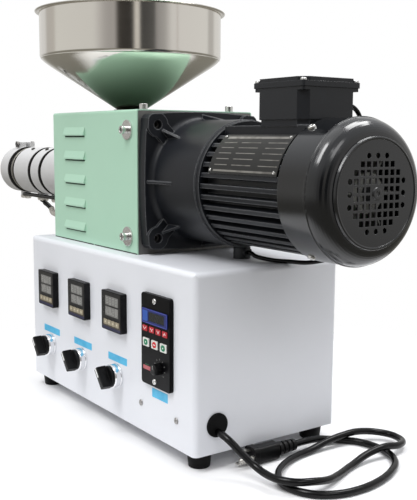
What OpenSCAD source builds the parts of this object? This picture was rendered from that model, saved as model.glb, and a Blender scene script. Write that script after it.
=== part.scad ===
// Desktop filament extruder: a heated barrel with its hopper and gear housing, driven by a
// flange motor, on top of a control cabinet with three heater zones and a speed controller.

/* [Cabinet] */
// Length of the cabinet along the barrel
cab_w = 416; // [390:1:480]
// Depth of the cabinet from front to back
cab_d = 202; // [196:1:260]
// Height of the cabinet without its feet
cab_h = 199; // [190:1:260]
// Thickness of the cabinet sheet
cab_t = 1.5; // [1:0.25:3]
// Outer radius of the folded edges
cab_r = 6; // [4:0.5:10]
// Thickness of the base plate
base_t = 2; // [1.5:0.5:4]

/* [Feet] */
// Height of a rubber foot
foot_h = 18; // [12:1:30]
// Diameter of a foot under the cabinet
foot_top_d = 28; // [24:1:34]
// Diameter of a foot on the floor
foot_floor_d = 24; // [18:1:28]
// Distance of a foot's centre from the cabinet sides
foot_inset = 20; // [18:1:40]

/* [Temperature controllers] */
// Side of the square bezel
ctrl_size = 48; // [44:1:60]
// How far the bezel stands out of the front panel
ctrl_bezel_t = 8; // [6:0.5:12]
// Side of the case behind the front panel
ctrl_case = 44.5; // [40:0.5:45]
// Depth of the case behind the front panel
ctrl_depth = 70; // [50:1:90]
// Distance of the first heater zone from the cabinet's left side
zone_inset = 62.5; // [58:0.5:70]
// Spacing of the three heater zones along the cabinet
zone_pitch = 93.5; // [80:0.5:100]
// Height of the controllers over the cabinet's underside
ctrl_z = 131.5; // [120:0.5:140]

/* [Selector switches] */
// Height of the switches over the cabinet's underside
sel_z = 52; // [45:0.5:60]
// Diameter of the chrome collar
sel_collar_d = 29; // [27:0.5:34]
// How far the collar stands out of the front panel
sel_collar_h = 10.5; // [8:0.5:14]
// Diameter of the threaded barrel behind the collar
sel_barrel_d = 22; // [18:0.5:24]
// Length of the threaded barrel behind the front panel
sel_barrel_l = 26; // [20:1:40]
// Diameter of the handle's spindle in the collar
sel_spindle_d = 16; // [12:0.5:17]
// Length of the spindle inside the collar
sel_spindle_l = 9; // [6:0.5:10]
// Diameter of the handle's round skirt
sel_skirt_d = 27; // [24:0.5:30]
// Height of the round skirt
sel_skirt_h = 3.5; // [2:0.5:5]
// Length of the grip bar across the handle
sel_grip_l = 28.5; // [24:0.5:32]
// Width of the grip bar
sel_grip_w = 9; // [7:0.5:11]
// Height of the grip bar over the skirt
sel_grip_h = 11.5; // [8:0.5:14]
// Lean of the bar to the left at rest, in degrees
sel_lean = 40; // [30:1:45]

/* [Speed controller] */
// Width of the front plate
speed_w = 60.5; // [56:0.5:66]
// Height of the front plate
speed_h = 105; // [100:0.5:112]
// Thickness of the front plate
speed_t = 5; // [4:0.5:8]
// Corner radius of the front plate
speed_r = 4; // [2:0.5:8]
// Distance of the plate's middle from the cabinet's right side
speed_inset = 71; // [66:0.5:80]
// Height of the plate's middle over the cabinet's underside
speed_z = 113.5; // [108:0.5:120]
// Width of the display frame
display_w = 52.5; // [48:0.5:54]
// Height of the display frame
display_h = 16.5; // [14:0.5:18]
// Diameter of the speed knob
knob_d = 13; // [10:0.5:16]
// Height of the speed knob
knob_h = 12; // [9:0.5:16]

/* [Gear housing] */
// Length of the housing cover along the barrel
hs_l = 230; // [210:1:260]
// Width of the cover from front to back
hs_w = 170; // [167:1:186]
// Height of the cover
hs_h = 172.5; // [168:0.5:200]
// Thickness of the cover sheet
hs_t = 1.5; // [1:0.25:3]
// Radius of the cover's folded edges
hs_r = 3; // [2.5:0.5:6]
// Place of the cover's motor end along the cabinet
hs_x = 52; // [40:1:60]
// Distance of the cover from the front panel
hs_y = 23; // [15:0.5:30]
// Thickness of the motor plate in the cover's end
plate_t = 40; // [30:1:50]
// Length of the feed block in the barrel end
feed_l = 118; // [110:1:130]
// Length of a louvre
louvre_l = 60; // [40:1:80]
// Height of a louvre
louvre_h = 11; // [8:0.5:14]
// How far a louvre stands out of the cover
louvre_out = 3; // [2.5:0.5:5]
// Spacing of the louvres
louvre_pitch = 31.4; // [26:0.2:33]
// Number of louvres on a side
louvre_n = 5; // [3:1:5]
// Height of the lowest louvre over the cover's bottom edge
louvre_z = 16; // [10:0.5:24]
// Distance of the louvres from the cover's barrel end
louvre_x = 35.5; // [20:0.5:60]

/* [Hopper] */
// Outer radius of the bowl
bowl_r = 123; // [100:0.5:126]
// Height of the bowl's straight wall
bowl_h = 62.5; // [50:0.5:80]
// Thickness of the hopper sheet
hopper_t = 1.2; // [0.8:0.1:2]
// Radius of the rolled rim's section
rim_r = 3.5; // [2:0.25:4]
// Height of the cone
cone_h = 71; // [60:0.5:90]
// Outer radius of the neck under the cone
neck_r = 19; // [16:0.5:24]
// Length of the neck in the feed block
neck_l = 24; // [16:1:40]
// Distance of the hopper's axis from the cover's barrel end
hopper_x = 69.5; // [60:0.5:80]

/* [Barrel] */
// Height of the motor axis over the cabinet top
axis_h = 87.5; // [84:0.5:96]
// How far the barrel's axis lies under the motor's
barrel_drop = 3.5; // [0:0.5:6]
// Radius of the barrel
barrel_r = 34; // [30:0.5:38]
// Length of the barrel outside the housing
barrel_l = 322; // [310:1:360]
// Radius of the barrel's mounting flange
barrel_flange_r = 55; // [50:0.5:60]
// Thickness of the mounting flange
barrel_flange_t = 16; // [10:0.5:24]
// Wall of a heater band
band_t = 5; // [4:0.25:7]
// Width of the band at the die
band_1_w = 37; // [32:0.5:40]
// Width of the two wide bands
band_2_w = 62; // [50:0.5:66]
// Width of the narrow band between the wide ones
band_3_w = 33; // [28:0.5:36]
// Gap between neighbouring bands
band_gap = 8; // [6:0.5:10]
// Width of the groove behind the first band
groove_w = 23; // [20:0.5:28]
// Width of the barrel's ring in the middle of the groove
groove_ring_w = 8; // [6:0.5:10]
// Radius of the die head
die_r = 28; // [24:0.5:32]
// Length of the die head past the barrel
die_l = 14; // [10:0.5:20]
// Radius of the nozzle's hexagon
nozzle_r = 14; // [10:0.5:18]
// Length of the nozzle past the die head
nozzle_l = 11; // [9:0.5:16]
// Radius of the filament outlet
outlet_r = 1; // [0.8:0.1:2]

/* [Motor] */
// Side of the square flange
flange_size = 166; // [156:1:168]
// Radius of the bow of the flange's sides
flange_bow = 800; // [300:10:900]
// Corner radius of the flange
flange_r = 19; // [16:0.5:30]
// Thickness of the flange
flange_t = 14; // [10:0.5:18]
// Height of the corner pads over the flange
pad_h = 4; // [2:0.5:6]
// Radius of a corner pad
pad_r = 14; // [11:0.5:16]
// Width of a pad's arm to the bell
pad_arm_w = 22; // [16:0.5:24]
// Spacing of the flange holes
bolt_pitch = 134; // [126:1:136]
// Diameter of a flange hole
bolt_d = 11; // [8:0.5:13]
// Radius of the bell behind the flange
bell_r = 73; // [68:0.5:75]
// Length of the bell from the flange's face
bell_l = 94; // [80:1:110]
// Radius of the hollow round between the bell and the flange
bell_flare = 7; // [2:0.5:8]
// Thickness of a gusset rib
gusset_t = 3; // [2:0.5:5]
// Length of a gusset rib along the bell
gusset_l = 50; // [25:1:60]
// Length of the finned body
body_l = 134; // [110:1:160]
// Radius of the body under the fins
core_r = 59; // [54:0.5:62]
// Height of a fin
fin_h = 10; // [6:0.5:12]
// Thickness of a fin
fin_t = 5; // [3:0.25:6]
// Number of fins around the body, with those under the pad left out
fin_n = 36; // [28:1:40]
// Width of the flat pad along the top of the body
pad_w = 72; // [64:1:80]
// Height of the pad over the motor axis
pad_top = 65; // [63:0.5:67]
// Radius of the fan cover
cover_r = 72.5; // [70:0.5:76]
// Length of the fan cover
cover_l = 61; // [50:1:75]
// Thickness of the fan cover's sheet
cover_t = 1.5; // [1:0.25:2.5]
// Radius of the flat end of the fan cover
cover_end_r = 53.5; // [50:0.5:58]
// Radius of the perforated field
grille_r = 35; // [32:0.5:40]
// Spacing of the holes in the grille
grille_pitch = 8; // [7:0.25:10]
// Side of a square hole
grille_hole = 5.5; // [4:0.1:6]
// Radius of the plain middle of the grille
grille_hub_r = 6; // [6:0.5:12]
// Number of fan blades
blade_n = 6; // [4:1:8]

/* [Terminal box] */
// Side of the box
tbox_size = 76.5; // [70:0.5:78]
// Height of the box with its rim
tbox_h = 32; // [26:0.5:40]
// Length of the box's corner cuts along its sides
tbox_cut = 9; // [6:0.5:12]
// Side of the lid
lid_size = 78.5; // [76:0.5:84]
// Height of the lid
lid_h = 9.5; // [8:0.5:14]
// Height of the box's floor over the motor axis
tbox_z = 70.5; // [70:0.5:76]
// Distance of the box's middle from the fan cover
tbox_back = 42; // [40:1:56]

/* [Power cord] */
// Height of the cord's entry over the cabinet's underside
cord_z = 32; // [26:0.5:44]
// Distance of the cord's entry from the front panel
cord_y = 29; // [24:0.5:50]
// Diameter of the entry hole in the cabinet
cord_hole_d = 23.5; // [18:0.5:28]
// Diameter of the power cord
cord_d = 8; // [6:0.5:10]

/* [Hidden] */
$fn = 64;

// Gap between pieces that fit into each other
fit = 0.2;
// Running gap between a turning piece and its seat
run_gap = 0.4;
// Overshoot of a cut past the face that it opens
cut = 1;

zone_xs = [for (i = [0:2]) zone_inset - cab_w / 2 + i * zone_pitch];
speed_x = cab_w / 2 - speed_inset;
sel_front = sel_collar_h + run_gap + sel_skirt_h + sel_grip_h;

axis_y = hs_y + hs_w / 2;
axis_z = cab_h + axis_h;
hs_x0 = hs_x - hs_l;
hs_z1 = cab_h + hs_h;

hop_x = hs_x0 + hopper_x;
cone_z1 = hs_z1 + cone_h;
rim_z = cone_z1 + bowl_h;
rim_out = bowl_r - hopper_t + 2 * rim_r;
throat_r = neck_r + fit;

band_r = barrel_r + band_t;
barrel_x0 = hs_x0 - barrel_l;
band_1_x = barrel_x0;
band_2_x = band_1_x + band_1_w + groove_w;
band_3_x = band_2_x + band_2_w + band_gap;
band_4_x = band_3_x + band_3_w + band_gap;

bell_x = hs_x + flange_t;
body_x = bell_x + bell_l;
fan_x = body_x + body_l;
fan_end_x = fan_x + cover_l;
fin_r = core_r + fin_h;
box_x = fan_x - tbox_back;
box_z = axis_z + tbox_z;

// The origin lies on the floor under the middle of the machine's overall box
mid_x = (barrel_x0 - die_l - nozzle_l + fan_end_x) / 2;
mid_y = (axis_y + rim_out - max(sel_front, rim_out - axis_y)) / 2;

module in_frame() {
    translate([-mid_x, -mid_y, foot_h]) children();
}

// Places a drawing on the front panel: x along the cabinet, y up, z out of the panel
module on_panel(x, z) {
    translate([x, 0, z]) rotate([90, 0, 0]) children();
}

// Places a drawing on the barrel and motor axis, with z along +X
module on_axis(x) {
    translate([x, axis_y, axis_z]) rotate([0, 90, 0]) children();
}

// Places a drawing on the barrel's own axis, which lies a little lower
module on_barrel(x) {
    translate([0, 0, -barrel_drop]) on_axis(x) children();
}

// Square about the middle, with its corners cut off
module cut_square(w, c) {
    h = w / 2;
    k = h - c;
    polygon([[k, -h], [h, -k], [h, k], [k, h], [-k, h], [-h, k], [-h, -k], [-k, -h]]);
}

// Rectangle about the middle, with round corners
module round_rect(w, h, r) {
    square([w - 2 * r, h], center = true);
    square([w, h - 2 * r], center = true);
    for (sx = [-1, 1], sy = [-1, 1])
        translate([sx * (w / 2 - r), sy * (h / 2 - r)]) circle(r);
}

// Upright rectangle on y = 0, with its two upper corners round
module arched_rect(w, h, r) {
    translate([-w / 2, 0]) square([w, h - r]);
    translate([r - w / 2, 0]) square([w - 2 * r, h]);
    for (s = [-1, 1])
        translate([s * (w / 2 - r), h - r]) circle(r);
}

// Bar with round ends about the middle
module obround(l, w) {
    square([l - w, w], center = true);
    for (s = [-1, 1])
        translate([s * (l - w) / 2, 0]) circle(d = w);
}

// Box on z = 0 with round upright and upper edges, as folded sheet has
module folded_box(w, d, h, r) {
    intersection() {
        linear_extrude(h) round_rect(w, d, r);
        translate([0, d / 2, 0]) rotate([90, 0, 0]) linear_extrude(d) arched_rect(w, h, r);
        translate([-w / 2, 0, 0]) rotate([90, 0, 90]) linear_extrude(w) arched_rect(d, h, r);
    }
}

// Round tube along a list of points, each ring square to the path
function unit(v) = v / norm(v);
function heading(p, i) = unit(p[min(i + 1, len(p) - 1)] - p[max(i - 1, 0)]);
function ring(p, i, r, n) =
    let (t = heading(p, i), s = unit(cross(t, [0.01, 0.02, 1])), u = cross(s, t))
    [for (k = [0:n - 1]) p[i] + r * (cos(360 * k / n) * s + sin(360 * k / n) * u)];

module tube_along(path, d, n) {
    last = len(path) - 1;
    polyhedron(
        points = [for (i = [0:last], q = ring(path, i, d / 2, n)) q],
        faces = concat(
            [[for (k = [0:n - 1]) k]],
            [for (i = [0:last - 1], k = [0:n - 1])
                [i * n + k, (i + 1) * n + k, (i + 1) * n + (k + 1) % n, i * n + (k + 1) % n]],
            [[for (k = [n - 1:-1:0]) last * n + k]]
        )
    );
}

// Cabinet

module cabinet_shell() color("whitesmoke") in_frame() difference() {
    translate([0, cab_d / 2, 0]) folded_box(cab_w, cab_d, cab_h, cab_r);
    translate([0, cab_d / 2, -cut])
        folded_box(cab_w - 2 * cab_t, cab_d - 2 * cab_t, cab_h - cab_t + cut, cab_r - cab_t);
    for (x = zone_xs) {
        on_panel(x, ctrl_z)
            linear_extrude(4 * cab_t, center = true) square(ctrl_case + 2 * fit, center = true);
        on_panel(x, sel_z) cylinder(d = sel_barrel_d + 2 * fit, h = 4 * cab_t, center = true);
    }
    on_panel(speed_x, speed_z)
        linear_extrude(4 * cab_t, center = true) square(speed_case + [2, 2] * fit, center = true);
    translate([cab_w / 2, cord_y, cord_z]) rotate([0, 90, 0])
        cylinder(d = cord_hole_d, h = 4 * cab_t, center = true);
}

module cabinet_base() color("gainsboro") in_frame()
    translate([0, cab_d / 2, 0]) linear_extrude(base_t)
        round_rect(cab_w - 2 * (cab_t + fit), cab_d - 2 * (cab_t + fit), cab_r - cab_t - fit);

module foot(sx, sy) color("#1a1a1b") in_frame()
    translate([sx * (cab_w / 2 - foot_inset), cab_d / 2 + sy * (cab_d / 2 - foot_inset), -foot_h])
        cylinder(d1 = foot_floor_d, d2 = foot_top_d, h = foot_h);

// Heater zones: controllers and selector switches

bezel_r = 2;
window_w = ctrl_size - 11;
window_h = ctrl_size / 2;
window_top = 6;
window_deep = 1;
window_y = ctrl_size / 2 - window_top - window_h / 2;
key_pitch = window_w / 4;
key_gap = 1.5;
key_h = 4.5;
key_r = 1;
key_out = 0.8;
key_y = 12 - ctrl_size / 2;

module controller(i) color("#1b1c1e") in_frame() on_panel(zone_xs[i], ctrl_z) {
    difference() {
        union() {
            linear_extrude(ctrl_bezel_t) round_rect(ctrl_size, ctrl_size, bezel_r);
            translate([0, 0, -ctrl_depth]) linear_extrude(ctrl_depth) square(ctrl_case, center = true);
        }
        translate([0, window_y, ctrl_bezel_t - window_deep])
            linear_extrude(window_deep + cut) square([window_w, window_h], center = true);
    }
    for (k = [-1.5:1.5])
        translate([k * key_pitch, key_y, ctrl_bezel_t])
            linear_extrude(key_out) round_rect(key_pitch - key_gap, key_h, key_r);
}

collar_bevel = 1.5;
mark_w = 2.6;
mark_l = sel_grip_l / 2 - 3;
mark_deep = 0.8;

module selector_collar(i) color("silver") in_frame() on_panel(zone_xs[i], sel_z) difference() {
    union() {
        cylinder(d = sel_collar_d, h = sel_collar_h - collar_bevel);
        translate([0, 0, sel_collar_h - collar_bevel])
            cylinder(d1 = sel_collar_d, d2 = sel_collar_d - 2 * collar_bevel, h = collar_bevel);
        translate([0, 0, -sel_barrel_l]) cylinder(d = sel_barrel_d, h = sel_barrel_l);
    }
    translate([0, 0, sel_collar_h - sel_spindle_l - run_gap])
        cylinder(d = sel_spindle_d + 2 * run_gap, h = sel_spindle_l + run_gap + cut);
}

module selector_handle(i) color("#232426") in_frame() on_panel(zone_xs[i], sel_z)
    translate([0, 0, sel_collar_h + run_gap]) rotate(sel_lean) difference() {
        union() {
            translate([0, 0, -sel_spindle_l]) cylinder(d = sel_spindle_d, h = sel_spindle_l);
            cylinder(d = sel_skirt_d, h = sel_skirt_h);
            translate([0, 0, sel_skirt_h]) rotate(90) linear_extrude(sel_grip_h)
                obround(sel_grip_l, sel_grip_w);
        }
        translate([0, sel_grip_l / 4, sel_skirt_h + sel_grip_h])
            cube([mark_w, mark_l, 2 * mark_deep], center = true);
    }

// Speed controller

speed_case = [speed_w - 8, speed_h - 24];
speed_case_l = 60;
display_y = 27;
display_t = 1.2;
screen_size = [display_w * 0.62, display_h - 6];
screen_x = 4;
screen_deep = 0.6;
red_key_y = 12.3;
red_key_pitch = 13.8;
red_key_w = 10;
red_key_h = 6.5;
button_y = -3.4;
button_pitch = 18.2;
button_w = 12.8;
button_h = 9.4;
button_t = 1.2;
knob_x = 9.5;
knob_y = -28.5;
knob_edge = 1;
knob_taper = 1.5;
stem_d = knob_d / 2;
stem_l = 3.5;

module speed_panel() color("#1d1e20") in_frame() on_panel(speed_x, speed_z) difference() {
    union() {
        linear_extrude(speed_t) round_rect(speed_w, speed_h, speed_r);
        translate([0, 0, -speed_case_l]) linear_extrude(speed_case_l) square(speed_case, center = true);
    }
    translate([knob_x, knob_y, speed_t - stem_l - run_gap])
        cylinder(d = stem_d + 2 * run_gap, h = stem_l + run_gap + cut);
}

module speed_display() color("#3350a8") in_frame() on_panel(speed_x, speed_z)
    translate([0, display_y, speed_t]) difference() {
        linear_extrude(display_t) round_rect(display_w, display_h, key_gap);
        translate([screen_x, 0, display_t - screen_deep])
            linear_extrude(screen_deep + cut) square(screen_size, center = true);
    }

module speed_key_row() color("firebrick") in_frame() on_panel(speed_x, speed_z)
    for (k = [-1.5:1.5])
        translate([k * red_key_pitch, red_key_y, speed_t])
            linear_extrude(key_out) round_rect(red_key_w, red_key_h, key_r);

module speed_buttons() color("white") in_frame() on_panel(speed_x, speed_z)
    for (k = [-1:1])
        translate([k * button_pitch, button_y, speed_t])
            linear_extrude(button_t) round_rect(button_w, button_h, key_r);

module speed_knob() color("#262729") in_frame() on_panel(speed_x + knob_x, speed_z + knob_y)
    translate([0, 0, speed_t + run_gap]) difference() {
        union() {
            translate([0, 0, -stem_l]) cylinder(d = stem_d, h = stem_l);
            cylinder(d1 = knob_d, d2 = knob_d - knob_taper, h = knob_h - knob_edge);
            translate([0, 0, knob_h - knob_edge])
                cylinder(d1 = knob_d - knob_taper, d2 = knob_d - knob_taper - 2 * knob_edge, h = knob_edge);
        }
        translate([0, knob_d / 4, knob_h]) cube([knob_edge, knob_d / 2, knob_edge], center = true);
    }

// Gear housing

// A louvre pressed out of the sheet: its hood slopes outward and is open at the bottom
louvre_lip = 2;

module louvre() {
    rotate([90, 0, -90]) linear_extrude(louvre_l, center = true)
        polygon([[0, 0], [louvre_out, 0], [louvre_out, louvre_lip], [0, louvre_h]]);
}

module louvre_room() {
    inner = louvre_out - hs_t;
    rotate([90, 0, -90]) linear_extrude(louvre_l - 2 * hs_t, center = true)
        polygon([
            [-2 * hs_t, 0], [0, 0], [0, -cut], [inner, -cut], [inner, louvre_lip - hs_t / 2],
            [0, louvre_h - 1.5 * hs_t], [-2 * hs_t, louvre_h - 1.5 * hs_t]
        ]);
}

module at_louvres() {
    for (side = [-1, 1], k = [0:louvre_n - 1])
        translate([hs_x0 + louvre_x + louvre_l / 2, axis_y + side * hs_w / 2,
                   cab_h + louvre_z + k * louvre_pitch])
            rotate(side < 0 ? 0 : 180) children();
}

module housing_cover() color("#acd2ba") in_frame() difference() {
    union() {
        difference() {
            translate([hs_x0, axis_y, cab_h]) rotate([90, 0, 90])
                linear_extrude(hs_l) arched_rect(hs_w, hs_h, hs_r);
            translate([hs_x0 - cut, axis_y, cab_h - cut]) rotate([90, 0, 90])
                linear_extrude(hs_l + 2 * cut)
                    arched_rect(hs_w - 2 * hs_t, hs_h - hs_t + cut, hs_r - hs_t);
        }
        at_louvres() louvre();
    }
    at_louvres() louvre_room();
    translate([hop_x, axis_y, hs_z1 - 2 * hs_t]) cylinder(r = throat_r + fit, h = 4 * hs_t);
}

block_w = hs_w - 2 * (hs_t + fit);
block_h = hs_h - hs_t - fit;

module motor_plate() color("#6b6a67") in_frame()
    translate([hs_x - plate_t, axis_y, cab_h]) rotate([90, 0, 90])
        linear_extrude(plate_t) arched_rect(block_w, block_h, hs_r);

module feed_block() color("#6b6a67") in_frame() difference() {
    translate([hs_x0, axis_y, cab_h]) rotate([90, 0, 90])
        linear_extrude(feed_l) arched_rect(block_w, block_h, hs_r);
    translate([hop_x, axis_y, axis_z]) cylinder(r = throat_r, h = hs_h);
}

// Hopper

collar_h = 5;
collar_out = 5;
cone_z0 = hs_z1 + collar_h;

module throat_collar() color("silver") in_frame() translate([hop_x, axis_y, hs_z1]) difference() {
    cylinder(r = neck_r + collar_out, h = collar_h);
    translate([0, 0, -cut]) cylinder(r = throat_r, h = collar_h + 2 * cut);
}

module hopper_cone() color("gainsboro") in_frame() translate([hop_x, axis_y, 0]) rotate_extrude($fn = 96)
    polygon([
        [neck_r - hopper_t, cone_z0 - neck_l], [neck_r, cone_z0 - neck_l], [neck_r, cone_z0],
        [bowl_r, cone_z1], [bowl_r - hopper_t, cone_z1], [neck_r - hopper_t, cone_z0 + hopper_t]
    ]);

// The rim is rolled outward and pressed flat
rim_flat = 0.4;

module hopper_bowl() color("gainsboro") in_frame() translate([hop_x, axis_y, 0]) rotate_extrude($fn = 96) {
    translate([bowl_r - hopper_t, cone_z1]) square([hopper_t, rim_z - cone_z1]);
    translate([rim_out - rim_r, rim_z]) scale([1, rim_flat]) circle(rim_r, $fn = 32);
}

// Barrel

// The ring in the groove stands a little lower than the bands
groove_ring_r = band_r - 1.5;
groove_ring_x = band_1_w + groove_w / 2;

module barrel() color("#8d8c89") in_frame() on_barrel(barrel_x0) {
    cylinder(r = barrel_r, h = barrel_l);
    translate([0, 0, groove_ring_x - groove_ring_w / 2]) cylinder(r = groove_ring_r, h = groove_ring_w);
}

module barrel_flange() color("#8d8c89") in_frame() on_barrel(hs_x0 - barrel_flange_t) difference() {
    cylinder(r = barrel_flange_r, h = barrel_flange_t);
    translate([0, 0, -cut]) cylinder(r = barrel_r + fit, h = barrel_flange_t + 2 * cut);
}

// A heater band has two terminal posts under it; the first one is split over the barrel, between
// two clamp ears
ear_t = 9;
ear_h = 8;
ear_root = 2 * band_t;
ear_gap = 6;
ear_side = 5;
post_d = 11;
post_h = 7;
post_off = 8;

module clamp_ears(w) {
    y = ear_t + ear_gap / 2;
    translate([-band_r - ear_h, -y, ear_side]) cube([ear_h + ear_root, 2 * y, w - 2 * ear_side]);
}

module heater_band(x, w, eared = false) color("#c2c0bd") in_frame() on_barrel(x) difference() {
    union() {
        cylinder(r = band_r, h = w);
        if (eared)
            clamp_ears(w);
        for (s = [-1, 1])
            translate([0, 0, w / 2 + s * post_off]) rotate([0, 90, 0])
                cylinder(d = post_d, h = band_r + post_h);
    }
    translate([0, 0, -cut]) cylinder(r = barrel_r + fit, h = w + 2 * cut);
    if (eared)
        translate([-band_r - ear_h - cut, -ear_gap / 2, -cut])
            cube([band_r + ear_h + cut, ear_gap, w + 2 * cut]);
}

module die_head() color("#9a9895") in_frame() on_barrel(barrel_x0 - die_l) cylinder(r = die_r, h = die_l);

module nozzle() color("#b9a15a") in_frame() on_barrel(barrel_x0 - die_l - nozzle_l) difference() {
    union() {
        cylinder(r1 = nozzle_r / 4, r2 = nozzle_r * 2 / 3, h = nozzle_l / 2);
        translate([0, 0, nozzle_l / 2]) cylinder(r = nozzle_r, h = nozzle_l / 2, $fn = 6);
    }
    translate([0, 0, -cut]) cylinder(r = outlet_r, h = nozzle_l / 2 + cut);
}

// Motor

module flange_outline() {
    reach = flange_bow - flange_size / 2;
    intersection() {
        round_rect(flange_size, flange_size, flange_r);
        intersection_for (a = [0:90:270])
            rotate(a) translate([-reach, 0]) circle(flange_bow, $fn = 360);
    }
}

// Raised pad round a flange hole, running in to the bell
module corner_pad() {
    intersection() {
        flange_outline();
        union() {
            translate([bolt_pitch / 2, bolt_pitch / 2]) circle(pad_r);
            translate([bolt_pitch / 2, bolt_pitch / 2]) square(flange_size);
            rotate(45) translate([0, -pad_arm_w / 2]) square([bolt_pitch / sqrt(2), pad_arm_w]);
        }
    }
}

// Rib between the flange and the bell, from its toe on the flange to its end on the bell
module gusset(toe_r, l) {
    foot_r = bell_r - bell_flare;
    translate([0, gusset_t / 2, 0]) rotate([90, 0, 0]) linear_extrude(gusset_t)
        polygon([[foot_r, 0], [toe_r, 0], [bell_r - gusset_edge, l], [foot_r, l]]);
}

// The bell's seam lies between a rib and a pad
bell_seam = 22.5;
gusset_edge = 1;
toe_edge = 3;
side_toe_r = flange_size / 2 - toe_edge;
pad_toe_r = bolt_pitch / sqrt(2) - bolt_d / 2 - toe_edge;
end_ring_l = 7;
end_ring_in = 1.5;

// Half of the bell's side view: a hollow round foot, the straight wall and a lower ring at its end
module bell_profile() {
    polygon(concat(
        [[0, 0]],
        [for (a = [0:15:90]) [bell_r + bell_flare * (1 - sin(a)), bell_flare * (1 - cos(a))]],
        [
            [bell_r, bell_l - end_ring_l], [bell_r - end_ring_in, bell_l - end_ring_l],
            [bell_r - end_ring_in, bell_l], [0, bell_l]
        ]
    ));
}

module motor_bell() color("#2b2c2e") in_frame() on_axis(hs_x) difference() {
    union() {
        linear_extrude(flange_t) flange_outline();
        translate([0, 0, flange_t]) rotate(bell_seam) rotate_extrude() bell_profile();
        for (a = [0:90:270])
            rotate(a) {
                translate([0, 0, flange_t]) linear_extrude(pad_h) corner_pad();
                translate([0, 0, flange_t]) gusset(side_toe_r, gusset_l);
                translate([0, 0, flange_t + pad_h]) rotate(45) gusset(pad_toe_r, gusset_l / 2);
            }
    }
    for (a = [0:90:270])
        rotate(a) translate([bolt_pitch / 2, bolt_pitch / 2, -cut])
            cylinder(d = bolt_d, h = flange_t + pad_h + 2 * cut);
}

// The pad runs along the top of the body, and the terminal box sits on a seat on the pad
fin_root = 2;
pad_reach = 35;
seat_in = 1.5;

module motor_body() color("#2b2c2e") in_frame() {
    on_axis(body_x) linear_extrude(body_l) {
        circle(core_r, $fn = 128);
        translate([-pad_top, -pad_w / 2]) square([pad_top, pad_w]);
        for (k = [0:fin_n - 1])
            if (abs(360 * k / fin_n - 180) > pad_reach)
                rotate(360 * k / fin_n) translate([core_r - fin_root, -fin_t / 2])
                    square([fin_h + fin_root, fin_t]);
    }
    translate([box_x, axis_y, axis_z + pad_top - seat_in]) linear_extrude(tbox_z - pad_top + seat_in)
        cut_square(tbox_size - 2 * seat_in, tbox_cut);
}

// The bare rating plate lies on the fin tips, between two angles over the front horizontal
plate_from = 12;
plate_to = 52;
rating_t = 1;
rating_x = 14;
rating_back = 6;

module nameplate() color("#3a3b3d") in_frame() on_axis(body_x + rating_x)
    linear_extrude(body_l - rating_x - rating_back)
    intersection() {
        difference() {
            circle(fin_r + fit + rating_t, $fn = 128);
            circle(fin_r + fit, $fn = 128);
        }
        polygon(2 * fin_r * [
            [0, 0], [-sin(plate_from), -cos(plate_from)],
            [-sin((plate_from + plate_to) / 2), -cos((plate_from + plate_to) / 2)],
            [-sin(plate_to), -cos(plate_to)]
        ]);
    }

// A bead pressed round the skirt stiffens it where the shoulder begins
bead_x = 39;
bead_w = 4;
bead_out = 0.8;

// Side view of the fan cover: a straight skirt, a round shoulder and a low step up to the flat end
end_step = 2.5;
module cover_profile(r, l, end_r) {
    rise = l - end_step - bead_x;
    polygon(concat(
        [[0, 0], [r, 0]],
        [for (a = [0:7.5:90]) [end_r + (r - end_r) * cos(a), bead_x + rise * sin(a)]],
        [[end_r, l], [0, l]]
    ));
}

// The grille is a field of square holes with three round holes on each of its four sides
outer_row = 4.5;
outer_gap = 1.5;

module fan_cover() color("#303133") in_frame() on_axis(fan_x) difference() {
    rotate_extrude($fn = 96) {
        cover_profile(cover_r, cover_l, cover_end_r);
        translate([cover_r, bead_x])
            polygon([[-cover_t / 2, -bead_w / 2], [bead_out, -bead_w / 4], [bead_out, bead_w / 4],
                     [-cover_t / 2, bead_w / 2]]);
    }
    translate([0, 0, -cut]) rotate_extrude($fn = 96)
        cover_profile(cover_r - cover_t, cover_l - cover_t + cut, cover_end_r - cover_t);
    for (x = [-3.5:3.5], y = [-3.5:3.5])
        let (r = grille_pitch * norm([x, y]))
            if (r <= grille_r && r >= grille_hub_r)
                translate([x * grille_pitch, y * grille_pitch, cover_l])
                    cube([grille_hole, grille_hole, 4 * cover_t], center = true);
    for (a = [0:90:270], x = [-outer_gap, 0, outer_gap])
        rotate(a) translate([x * grille_pitch, outer_row * grille_pitch, cover_l])
            cylinder(d = grille_hole, h = 4 * cover_t, center = true, $fn = 24);
}

// The rear shield closes the body, holds the fan cover's skirt and carries the shaft end
shield_t = 10;
shaft_r = 8;
fan_gap = 5;
fan_l = 34;
fan_hub_r = 20;
blade_t = 2;

module rear_shield() color("#2b2c2e") in_frame() on_axis(fan_x) {
    cylinder(r = cover_r - cover_t - fit, h = shield_t);
    cylinder(r = shaft_r, h = shield_t + fan_gap + fan_l);
}

module fan() color("#d8d8d6") in_frame() on_axis(fan_x + shield_t + fan_gap) difference() {
    linear_extrude(fan_l) {
        circle(fan_hub_r);
        for (k = [0:blade_n - 1])
            rotate(360 * (k + 0.5) / blade_n) translate([fan_hub_r - blade_t, -blade_t / 2])
                square([cover_end_r - fan_gap - fan_hub_r + blade_t, blade_t]);
    }
    translate([0, 0, -cut]) cylinder(r = shaft_r + run_gap, h = fan_l + 2 * cut);
}

// Terminal box

// Box with cut corners and a rim; the lid's corners carry the screws beside its raised middle
rim_h = 3.5;
rim_in = 1;
lip_h = 5.5;
lid_step = 1;
lid_corner_r = 3;

module terminal_box() color("#242526") in_frame() translate([box_x, axis_y, box_z]) {
    linear_extrude(tbox_h) cut_square(tbox_size, tbox_cut);
    translate([0, 0, tbox_h - rim_h]) linear_extrude(rim_h)
        round_rect(lid_size - 2 * rim_in, lid_size - 2 * rim_in, lid_corner_r);
}

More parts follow.
